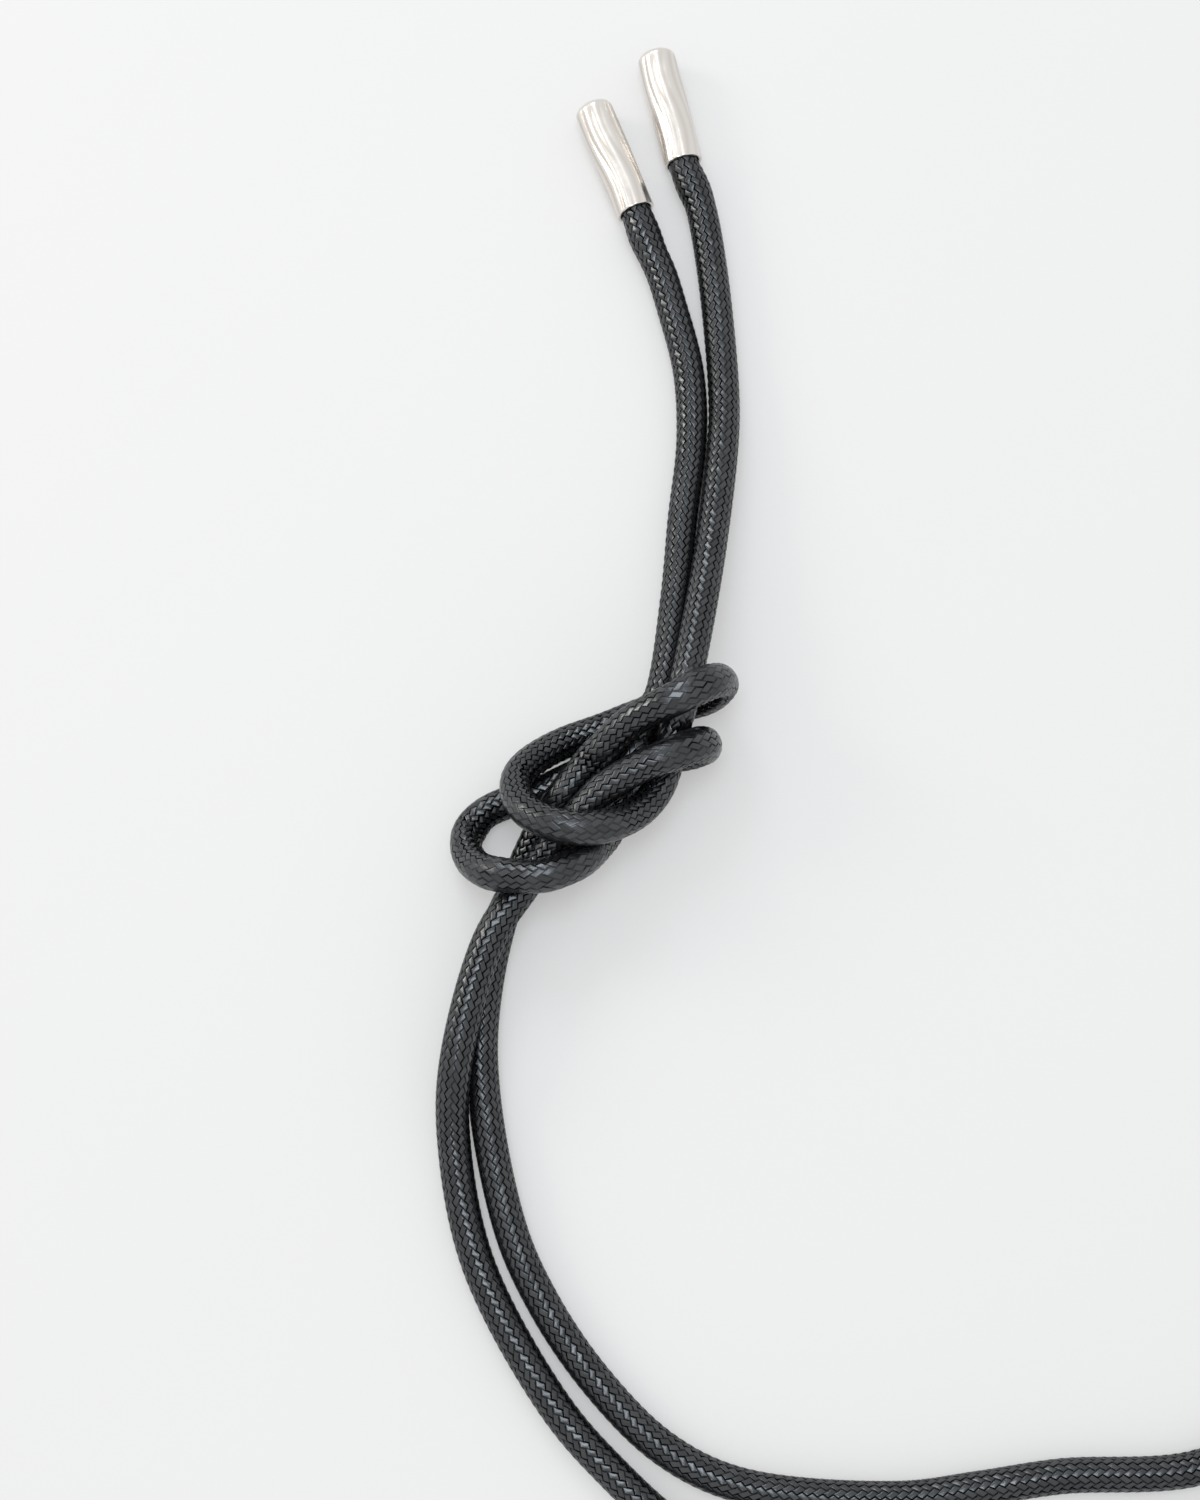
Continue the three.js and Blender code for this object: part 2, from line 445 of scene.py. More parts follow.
@dataclass(frozen=True)
class WaxedBraid:
    """Black waxed tape, braided two over two, with painted shade in the slits where the tapes dive under
    each other.

    The slits, and the shade painted in them, gape inside a turn, close outside an easy turn and open again
    outside a tight one.
    """

    # The tape's finish, with some stretches duller than others
    tape: Colour = (0.0085, 0.0088, 0.0102)
    gloss: float = 0.95
    gloss_tint: Colour = (0.91, 0.955, 1.0)
    dull_tape: float = 0.75
    number_step: float = 57.0
    wax_lumps: float = 90.0
    wax_detail: float = 3.0
    wax_low: float = 0.3
    wax_high: float = 0.7
    smooth: float = 0.2
    rough: float = 0.3

    # The tape's relief, in tape thicknesses
    tape_thickness: float = 0.00005
    border_flat: float = 0.5
    border_drop: float = 0.8
    dive_flat: float = 1.6
    dive_drop: float = 1.2
    edge_power: float = 8.0
    filaments: float = 7.0
    filament_height: float = 0.02
    lean: float = 0.9
    second_draw: float = 0.5

    # The painted shade in the slits, which starts and ends at shares of the way to a tape's dive or border
    slit_shade_colour: Colour = (0.0012, 0.0012, 0.0014)
    slit_start: float = 0.68
    slit_end: float = 0.86
    side_start: float = 0.72
    side_light: float = 0.25
    facing_light: float = 0.3
    facing_blend: float = 0.1

    # How the painted slit shade follows the squeeze of the braid
    uneven_lumps: float = 150.0
    unevenness: float = 0.55
    shut_light: float = 0.65
    shut_below: float = 0.1
    open_above: float = 0.25
    gape_start: float = 0.4
    gape_end: float = 0.9
    gape: float = 1.35

    def material(self) -> bpy.types.Material:
        """Makes the cord's material.

        Returns:
            The material.
        """
        bench = Bench("waxed_braid")
        place = bench.place()
        spot = self.find_tape(bench)
        chance = bench.chance(spot.number)
        bench.relief(self.height(bench, spot, chance), self.tape_thickness)
        tone = bench.ramp(chance, 0.0, 1.0, self.dull_tape, 1.0)
        # Painted shade: the slits between the tapes take a darker colour and less reflection, as if shade
        # fell in them; each stretch's random tone is mixed in
        tone_and_slit_shade = bench.sum(Sum.MULTIPLY, self.light(bench, spot, place), tone)
        bench.surface("Base Color", bench.tint(tone_and_slit_shade, self.slit_shade_colour, self.tape))
        bench.surface("Specular IOR Level", bench.sum(Sum.MULTIPLY, tone_and_slit_shade, self.gloss))
        bench.surface("Specular Tint", self.gloss_tint)
        wax = bench.grain(place, self.wax_lumps, self.wax_detail)
        bench.surface("Roughness", bench.ramp(wax, self.wax_low, self.wax_high, self.smooth, self.rough))
        return bench.material

    def find_tape(self, bench: Bench) -> TapeSpot:
        """Finds the tape that is on top, from the lattice that the mesh is mapped to.

        Args:
            bench: The material that the nodes go in.

        Returns:
            The spot's place on that tape.
        """
        lattice = bench.add("ShaderNodeUVMap")
        lattice.uv_map = BRAID_MAP
        split = bench.add("ShaderNodeSeparateXYZ")
        bench.feed(split.inputs[0], lattice.outputs[0])
        half = bench.sum(Sum.MULTIPLY, split.outputs[0], 0.5)
        rising = bench.sum(Sum.ADD, half, split.outputs[1])
        falling = bench.sum(Sum.SUBTRACT, half, split.outputs[1])
        rising_tape = bench.sum(Sum.ROUND, rising)
        falling_tape = bench.sum(Sum.ROUND, falling)
        off_rising = bench.sum(Sum.SUBTRACT, rising, rising_tape)
        off_falling = bench.sum(Sum.SUBTRACT, falling, falling_tape)
        column = bench.sum(Sum.ADD, rising_tape, falling_tape)
        in_turn = bench.sum(Sum.REMAINDER, column, COLUMNS_IN_TURN)
        rises = bench.sum(Sum.ABOVE, in_turn, TAPES_PASSED - 0.5)
        across = bench.choose(rises, off_falling, off_rising)
        off_crossing = bench.choose(rises, off_rising, off_falling)
        second = bench.centred(bench.sum(Sum.REMAINDER, in_turn, TAPES_PASSED))
        along = bench.sum(Sum.MULTIPLY, bench.sum(Sum.ADD, off_crossing, second), 1 / TAPES_PASSED)
        tape = bench.choose(rises, falling_tape, rising_tape)
        start = bench.sum(Sum.SUBTRACT, column, in_turn)
        number = bench.sum(Sum.ADD, bench.sum(Sum.MULTIPLY, tape, self.number_step), start)
        return TapeSpot(rises, across, along, bench.from_middle(across), bench.from_middle(along), number)

    def height(self, bench: Bench, spot: TapeSpot, chance: Socket) -> Socket:
        """Shapes a stretch of tape: its dome, its arch, its filaments and its own lean.

        Args:
            bench: The material that the nodes go in.
            spot: The place on the tape.
            chance: The stretch's own value, from 0 to 1.

        Returns:
            The socket with the height, in tape thicknesses.
        """
        dome = self.flat_top(bench, spot.to_border, self.border_flat, self.border_drop)
        arch = self.flat_top(bench, spot.to_dive, self.dive_flat, self.dive_drop)
        ribs = bench.sum(Sum.SINE, bench.sum(Sum.MULTIPLY, spot.across, math.tau * self.filaments))
        fine = bench.sum(Sum.MULTIPLY, ribs, self.filament_height)
        side_lean = bench.sum(Sum.MULTIPLY, bench.centred(chance), spot.across)
        end_chance = bench.chance(bench.sum(Sum.ADD, spot.number, self.second_draw))
        end_lean = bench.sum(Sum.MULTIPLY, bench.centred(end_chance), spot.along)
        leaning = bench.sum(Sum.MULTIPLY, bench.sum(Sum.ADD, side_lean, end_lean), 2 * self.lean)
        return bench.sum(Sum.ADD, bench.sum(Sum.ADD, dome, arch), bench.sum(Sum.ADD, fine, leaning))

    def light(self, bench: Bench, spot: TapeSpot, place: Socket) -> Socket:
        """Paints shade into the slits between the tapes, as far as the braid's squeeze leaves them open; the
        slit at one end of each tape is painted lighter, as a step lit from that side.

        Args:
            bench: The material that the nodes go in.
            spot: The place on the tape.
            place: The place in the part's own frame.

        Returns:
            The socket with the painted light, from 0 in a shaded slit to 1 on a tape.
        """
        lumps = bench.centred(bench.grain(place, self.uneven_lumps))
        swing = bench.sum(Sum.MULTIPLY, lumps, self.unevenness)
        squeeze = bench.sum(Sum.ADD, bench.layer(SQUEEZE_LAYER), swing)
        widening = bench.ramp(squeeze, self.gape_start, self.gape_end, 1.0, self.gape)
        gaping = bench.sum(Sum.MULTIPLY, spot.to_dive, widening)
        open_end = bench.ramp(gaping, self.slit_start, self.slit_end, 1.0, 0.0)
        open_side = bench.ramp(spot.to_border, self.side_start, 1.0, 1.0, self.side_light)
        # Painted light: the slit at one end of each tape is kept lighter, as a step lit from that side
        turned = bench.sum(Sum.MULTIPLY, spot.along, bench.choose(spot.rises, 1.0, -1.0))
        facing = bench.ramp(turned, -self.facing_blend, self.facing_blend, self.facing_light, 0.0)
        slit_light = bench.sum(Sum.LARGER, open_end, facing)
        drawn = bench.sum(Sum.ABSOLUTE, squeeze)
        shut = bench.ramp(drawn, self.shut_below, self.open_above, self.shut_light, 0.0)
        return bench.sum(Sum.LARGER, bench.sum(Sum.SMALLER, slit_light, open_side), shut)

    def flat_top(self, bench: Bench, way: Socket, flat: float, drop: float) -> Socket:
        """Evens out a tape's round top and rounds off its edge.

        Args:
            bench: The material that the nodes go in.
            way: The way from the middle of the tape, 1 at its edge.
            flat: How much of the round top is evened out.
            drop: How far the edge drops.

        Returns:
            The socket with the height, in tape thicknesses.
        """
        raised = bench.sum(Sum.MULTIPLY, bench.sum(Sum.POWER, way, 2.0), flat)
        edge = bench.sum(Sum.MULTIPLY, bench.sum(Sum.POWER, way, self.edge_power), drop)
        return bench.sum(Sum.SUBTRACT, raised, edge)


@dataclass(frozen=True)
class PolishedSilver:
    """Polished silver, dimmer along the bottoms of its flutes and a little uneven from handling."""

    ridge: Colour = (0.765, 0.74, 0.707)
    valley: Colour = (0.6, 0.55, 0.495)
    smooth: float = 0.28
    rough: float = 0.34
    handling_lumps: float = 420.0
    handling_detail: float = 3.0
    handling_low: float = 0.35
    handling_high: float = 0.75
    scratch_lumps: float = 5200.0
    scratch_detail: float = 1.0
    scratch_depth: float = 0.0000005

    def material(self) -> bpy.types.Material:
        """Makes the caps' material.

        Returns:
            The material.
        """
        bench = Bench("polished_silver")
        place = bench.place()
        bench.surface("Base Color", bench.tint(bench.layer(FLUTE_LAYER), self.valley, self.ridge))
        bench.surface("Metallic", 1.0)
        handled = bench.grain(place, self.handling_lumps, self.handling_detail)
        rough = bench.ramp(handled, self.handling_low, self.handling_high, self.smooth, self.rough)
        bench.surface("Roughness", rough)
        bench.relief(bench.grain(place, self.scratch_lumps, self.scratch_detail), self.scratch_depth)
        return bench.material


@dataclass(frozen=True)
class PaleTable:
    """A near-white matt table top with a faint mottle, which glows a little so that shadows stay faint."""

    light: Colour = (0.414, 0.413, 0.412)
    dim: Colour = (0.404, 0.403, 0.405)
    glow: Colour = (1.0, 1.0, 1.0)
    glow_strength: float = 0.3
    roughness: float = 0.7
    mottle_lumps: float = 9.0
    grain_lumps: float = 900.0
    grain_depth: float = 0.00002

    def material(self) -> bpy.types.Material:
        """Makes the table's material.

        Returns:
            The material.
        """
        bench = Bench("pale_table")
        place = bench.place()
        mottle = bench.grain(place, self.mottle_lumps)
        bench.surface("Base Color", bench.tint(mottle, self.dim, self.light))
        bench.surface("Roughness", self.roughness)
        bench.surface("Emission Color", self.glow)
        bench.surface("Emission Strength", self.glow_strength)
        bench.relief(bench.grain(place, self.grain_lumps), self.grain_depth)
        return bench.material


def make_mesh(name: str, points: np.ndarray, faces: np.ndarray) -> bpy.types.Object:
    """Makes a smooth mesh object in the scene.

    Args:
        name: The piece's name.
        points: The corners, a row of x, y, z each.
        faces: The triangles or quads, a row of corner numbers each.

    Returns:
        The new object.
    """
    mesh = bpy.data.meshes.new(name)
    mesh.from_pydata(points.tolist(), [], faces.tolist())
    mesh.update()
    mesh.polygons.foreach_set("use_smooth", np.ones(len(mesh.polygons), dtype=bool))
    piece = bpy.data.objects.new(name, mesh)
    bpy.context.scene.collection.objects.link(piece)
    return piece


@dataclass(frozen=True)
class Crossing:
    """Half of a tape's stretch on top: a ring of lattice spots, one of them on the tape's raised border."""

    ring: tuple[Spot, ...]
    border: Spot

    def triangles(self) -> list[tuple[Spot, Spot, Spot]]:
        """Gives the triangles of the tape's top and of the step down from its raised border.

        Returns:
            Three lattice spots for each triangle, counted from the crossing's middle.
        """
        following = self.ring[1:] + self.ring[:1]
        top = [((0, 0), spot, ahead) for spot, ahead in zip(self.ring, following)]
        at = self.ring.index(self.border)
        return [*top, (self.border, self.ring[at - 1], following[at])]


# The crossings of four columns in turn: both of a falling tape that goes over two, then both of a rising one
CROSSINGS = (
    Crossing(((2, 0), (1, 1), (0, 2), (-1, 1), (-2, 0), (0, -2)), (-1, 1)),
    Crossing(((2, 0), (0, 2), (-2, 0), (-1, -1), (0, -2), (1, -1)), (1, -1)),
    Crossing(((2, 0), (0, 2), (-2, 0), (-1, -1), (0, -2), (1, -1)), (-1, -1)),
    Crossing(((2, 0), (1, 1), (0, 2), (-1, 1), (-2, 0), (0, -2)), (1, 1)),
)


class Lattice:
    """The corners of a braided skin, numbered over a lattice of half columns and quarter repeats."""

    def __init__(self, columns: int, rows: int) -> None:
        """Numbers the corners and sorts them into middles of crossings, tops and borders of tapes.

        Args:
            columns: How many columns of crossings go round the cord.
            rows: How many quarter repeats go along it.
        """
        self.halves = HALVES_PER_COLUMN * columns
        self.rows = rows
        half, row = np.meshgrid(np.arange(self.halves), np.arange(rows), indexing="ij")
        kept = half % 2 == row % 2
        self.number = np.zeros(kept.shape, dtype=int)
        self.number[kept] = np.arange(kept.sum())
        self.half, self.row = half[kept], row[kept]
        self.middle = (self.half % 2 == 0) & ((self.row + self.half) % ROWS_PER_REPEAT == 0)
        # Odd half columns lie on the tops and on the borders of tapes by turns
        self.top = self.middle | (self.half % (2 * HALVES_PER_COLUMN) == 1)
        self.border = self.half % (2 * HALVES_PER_COLUMN) == 3

    def tapes(self) -> tuple[np.ndarray, np.ndarray]:
        """Joins the corners crossing by crossing.

        Returns:
            The corner numbers of each triangle, and the corners' places in columns and repeats.
        """
        faces, places = [], []
        for column, crossing in enumerate(CROSSINGS):
            chosen = self.middle & (self.half // HALVES_PER_COLUMN % len(CROSSINGS) == column)
            middles = np.stack([self.half[chosen], self.row[chosen]], axis=1)[:, None]
            for shape in crossing.triangles():
                spots = middles + np.array(shape)[None]
                spots = spots[((spots[:, :, 1] >= 0) & (spots[:, :, 1] < self.rows)).all(axis=1)]
                faces.append(self.number[spots[:, :, 0] % self.halves, spots[:, :, 1]])
                places.append(spots / np.array([HALVES_PER_COLUMN, ROWS_PER_REPEAT]))
        return np.concatenate(faces), np.concatenate(places)

    def discs(self) -> np.ndarray:
        """Closes both ends round a hub each, numbered after the other corners.

        Returns:
            The corner numbers of each triangle.
        """
        faces = []
        hub = len(self.half)
        for end, order in ((0, -1), (self.rows - 1, 1)):
            rim = self.number[::HALVES_PER_COLUMN, end][::order]
            faces.append(np.stack([np.full(len(rim), hub), rim, np.roll(rim, -1)], axis=1))
            hub += 1
        return np.concatenate(faces)


@dataclass
class BraidedCord:
    """The whole knotted cord: a skin of tapes braided two over two round a smooth route."""

    # The cord and its braid
    diameter: float = 0.005
    in_cap: float = 0.017
    cap_axis_height: float = 0.0032
    tapes_each_way: int = 16
    repeat: float = 0.0015
    turns_per_metre: float = 0.6
    samples_per_span: int = 48

    # The skin's corners above and below the plain round cord
    crown: float = 0.00002
    border_depth: float = 0.00001
    corner_depth: float = 0.00035

    # The swelling outside the caps
    mouth_swell: float = 0.00023
    swell_length: float = 0.0085

    # How the turns draw the braid and flatten the cord
    straight_squeeze: float = 0.4
    squeeze_gain: float = 1.6
    easy_turn: float = 0.15
    turn_spread: float = 0.45
    turn_thinning: float = 0.25
    turn_reach: float = 0.004

    # What the cord is
    far_end: FarEnd = FarEnd.OBJECT
    stiffness: Stiffness = Stiffness.LIMP
    lay: Lay = Lay.LOOSE

    finish: WaxedBraid = field(default_factory=WaxedBraid)

    @property
    def radius(self) -> float:
        """Half the cord's diameter."""
        return self.diameter / 2

    def points_in_cap(self, mouth: tuple[float, float], heading: float) -> list[Point]:
        """Gives the cord's points inside a cap, from its mouth inwards.

        Args:
            mouth: The x and y of the middle of the mouth.
            heading: The way from mouth to tip, in degrees from +X.

        Returns:
            Three points on the cap's axis.
        """
        turn = math.radians(heading)
        depths = (0.0, self.in_cap / 2, self.in_cap)
        return [
            (mouth[0] + depth * math.cos(turn), mouth[1] + depth * math.sin(turn), self.cap_axis_height)
            for depth in depths
        ]

    def route(self) -> np.ndarray:
        """Joins the stretches of the route from the left cap to the right cap.

        Returns:
            The route's points, a row each.
        """
        from_left = self.points_in_cap(LEFT_MOUTH, LEFT_HEADING)[::-1]
        into_right = self.points_in_cap(RIGHT_MOUTH, RIGHT_HEADING)
        stretches = (
            from_left,
            LEFT_TAIL,
            KNOT_FROM_LEFT_TAIL,
            OUTER_STRAND,
            NECK_LOOP,
            INNER_STRAND,
            KNOT_TO_RIGHT_TAIL,
            RIGHT_TAIL,
            into_right,
        )
        return np.array([point for stretch in stretches for point in stretch])

    def smooth_route(self) -> np.ndarray:
        """Draws a smooth curve through the route, eased by the root of each span's length.

        Returns:
            Close points along the curve, none lower than the cord lies on the table.
        """
        route = self.route()
        before = 2 * route[0] - route[1]
        after = 2 * route[-1] - route[-2]
        ends = np.vstack([before, route, after])
        share = np.linspace(0, 1, self.samples_per_span, endpoint=False)[:, None]
        curve = []
        for a, b, c, d in zip(ends[:-3], ends[1:-2], ends[2:-1], ends[3:]):
            ab, bc, cd = (math.sqrt(np.linalg.norm(q - p)) for p, q in ((a, b), (b, c), (c, d)))
            leave = bc * ((b - a) / ab - (c - a) / (ab + bc) + (c - b) / bc)
            arrive = bc * ((c - b) / bc - (d - b) / (bc + cd) + (d - c) / cd)
            square = 3 * (c - b) - 2 * leave - arrive
            cube = 2 * (b - c) + leave + arrive
            curve.append(b + share * (leave + share * (square + share * cube)))
        curve = np.vstack([*curve, route[-1:]])
        curve[:, 2] = np.maximum(curve[:, 2], self.radius + self.crown)
        return curve

    def centreline(self) -> tuple[np.ndarray, float]:
        """Spaces the curve's points evenly, four to each repeat of the braid.

        Returns:
            The even points, and the cord's whole length.
        """
        curve = self.smooth_route()
        run = np.concatenate([[0.0], np.cumsum(np.linalg.norm(np.diff(curve, axis=0), axis=1))])
        length = float(run[-1])
        rows = ROWS_PER_REPEAT * round(length / self.repeat) + 1
        even = np.linspace(0, length, rows)
        return np.stack([np.interp(even, run, curve[:, axis]) for axis in range(3)], axis=1), length

    def frames(self, line: np.ndarray) -> tuple[np.ndarray, np.ndarray]:
        """Carries a cross-section along the cord without twisting it.

        Args:
            line: The even points of the centreline.

        Returns:
            Two directions across the cord at each point.
        """
        tangents, _ = self.bending(line)
        up = np.array([0.0, 0.0, 1.0])
        outs = []
        for tangent in tangents:
            up = up - tangent * np.dot(up, tangent)
            up = up / np.linalg.norm(up)
            outs.append(up)
        first = np.array(outs)
        return first, np.cross(tangents, first)

    def swelling(self, rows: int, length: float) -> np.ndarray:
        """Gives how much the cord swells where it comes out of the caps.

        Args:
            rows: How many even points the centreline has.
            length: The cord's whole length.

        Returns:
            The growth of the radius at each point.
        """
        run = np.linspace(0, length, rows)
        from_mouth = np.minimum(run, length - run) - self.in_cap
        share = np.clip(from_mouth / self.swell_length, 0, 1)
        return self.mouth_swell * np.sin(math.pi * share) ** 2

    def squeezing(self, line: np.ndarray, row: np.ndarray, out: np.ndarray) -> np.ndarray:
        """Gives how the braid is drawn, from 1, bunched up inside a turn, down through a straight run.

        About 0 is drawn close outside an easy turn, and less is pulled apart outside a tight one.

        Args:
            line: The even points of the centreline.
            row: The centreline point that each corner of the skin belongs to.
            out: The direction of each corner from the centreline.

        Returns:
            The squeeze at each corner.
        """
        _, bends = self.bending(line)
        inside = np.sum(bends[row] * out, axis=1)
        return np.clip(self.straight_squeeze + self.squeeze_gain * inside, -1, 1)

    def bending(self, line: np.ndarray) -> tuple[np.ndarray, np.ndarray]:
        """Gives the cord's way and its bend at each point of the centreline.

        Args:
            line: The even points of the centreline.

        Returns:
            The directions along the cord, and the bends: each points inside its turn, and its length is the
            cord's radius over the turn's radius.
        """
        tangents = np.gradient(line, axis=0)
        step = np.linalg.norm(tangents, axis=1)[:, None]
        tangents /= step
        return tangents, self.radius * np.gradient(tangents, axis=0) / step

    def flattening(self, line: np.ndarray) -> np.ndarray:
        """Gives how the cord spreads sideways and thins where it turns tightly, evened out along its run.

        Args:
            line: The even points of the centreline.

        Returns:
            For each point, the three by three stretch of the directions across the cord.
        """
        tangents, bends = self.bending(line)
        tight = np.linalg.norm(bends, axis=1)
        inward = bends / np.maximum(tight, self.easy_turn)[:, None]
        side = np.cross(tangents, inward)
        spread = self.turn_spread * side[:, :, None] * side[:, None, :]
        thinning = self.turn_thinning * inward[:, :, None] * inward[:, None, :]
        stretch = np.maximum(tight - self.easy_turn, 0)[:, None, None] * (spread - thinning)
        near = round(ROWS_PER_REPEAT * self.turn_reach / self.repeat)
        return np.apply_along_axis(np.convolve, 0, stretch, np.full(near, 1 / near), "same")

    def skin(self, line: np.ndarray, length: float) -> bpy.types.Object:
        """Builds the braid's mesh, with its map, its squeeze and its creases.

        Args:
            line: The even points of the centreline, four to each repeat.
            length: The cord's whole length.

        Returns:
            The cord's mesh object.
        """
        lattice = Lattice(2 * self.tapes_each_way, len(line))
        points, squeeze = self.corners(lattice, line, length)
        tapes, places = lattice.tapes()
        discs = lattice.discs()
        used, faces = np.unique(np.vstack([tapes, discs]), return_inverse=True)
        points = np.vstack([points, line[[0, -1]]])
        piece = make_mesh("cord_braid", points[used], faces.reshape(-1, 3))
        places = np.concatenate([places, np.zeros((*discs.shape, 2))])
        layer = piece.data.uv_layers.new(name=BRAID_MAP)
        layer.uv.foreach_set("vector", places.astype(np.float32).ravel())
        squeeze = np.concatenate([squeeze, 2 * [self.straight_squeeze]])[used]
        layer = piece.data.attributes.new(SQUEEZE_LAYER, "FLOAT", "POINT")
        layer.data.foreach_set("value", squeeze.astype(np.float32))
        self.crease(piece.data, np.concatenate([lattice.top, [True, True]])[used])
        return piece

    def corners(self, lattice: Lattice, line: np.ndarray, length: float) -> tuple[np.ndarray, np.ndarray]:
        """Lays the lattice's corners round the centreline, none of them under the table.

        Args:
            lattice: The lattice of the skin.
            line: The even points of the centreline.
            length: The cord's whole length.

        Returns:
            The corners, a row of x, y, z each, and the squeeze of the braid at each.
        """
        row = lattice.row
        first, second = self.frames(line)
        twist = math.tau * self.turns_per_metre * self.repeat / ROWS_PER_REPEAT * row
        angle = math.tau * lattice.half / lattice.halves + twist
        out = np.cos(angle)[:, None] * first[row] + np.sin(angle)[:, None] * second[row]
        squeeze = self.squeezing(line, row, out)
        sunk = -self.corner_depth * np.abs(squeeze)
        rise = np.where(lattice.top, self.crown, np.where(lattice.border, -self.border_depth, sunk))
        radius = self.radius + self.swelling(len(line), length)[row] + rise
        flattened = out + np.einsum("nij,nj->ni", self.flattening(line)[row], out)
        points = line[row] + radius[:, None] * flattened
        points[:, 2] = np.maximum(points[:, 2], 0)
        return points, squeeze

    def crease(self, mesh: bpy.types.Mesh, top: np.ndarray) -> None:
        """Marks the edges between one tape's top and the next as sharp.

        Args:
            mesh: The cord's mesh.
            top: Whether each corner is on the crown of a tape.
        """
        edges = np.empty(2 * len(mesh.edges), dtype=np.int32)
        mesh.edges.foreach_get("vertices", edges)
        sharp = ~top[edges.reshape(-1, 2)].any(axis=1)
        mesh.attributes.new("sharp_edge", "BOOLEAN", "EDGE").data.foreach_set("value", sharp)

    def build(self) -> bpy.types.Object:
        """Returns:
            The cord's object.
        """
        line, length = self.centreline()
        cord = self.skin(line, length)
        cord.data.materials.append(self.finish.material())
        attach(cord, BODY)
        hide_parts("cord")
        return cord


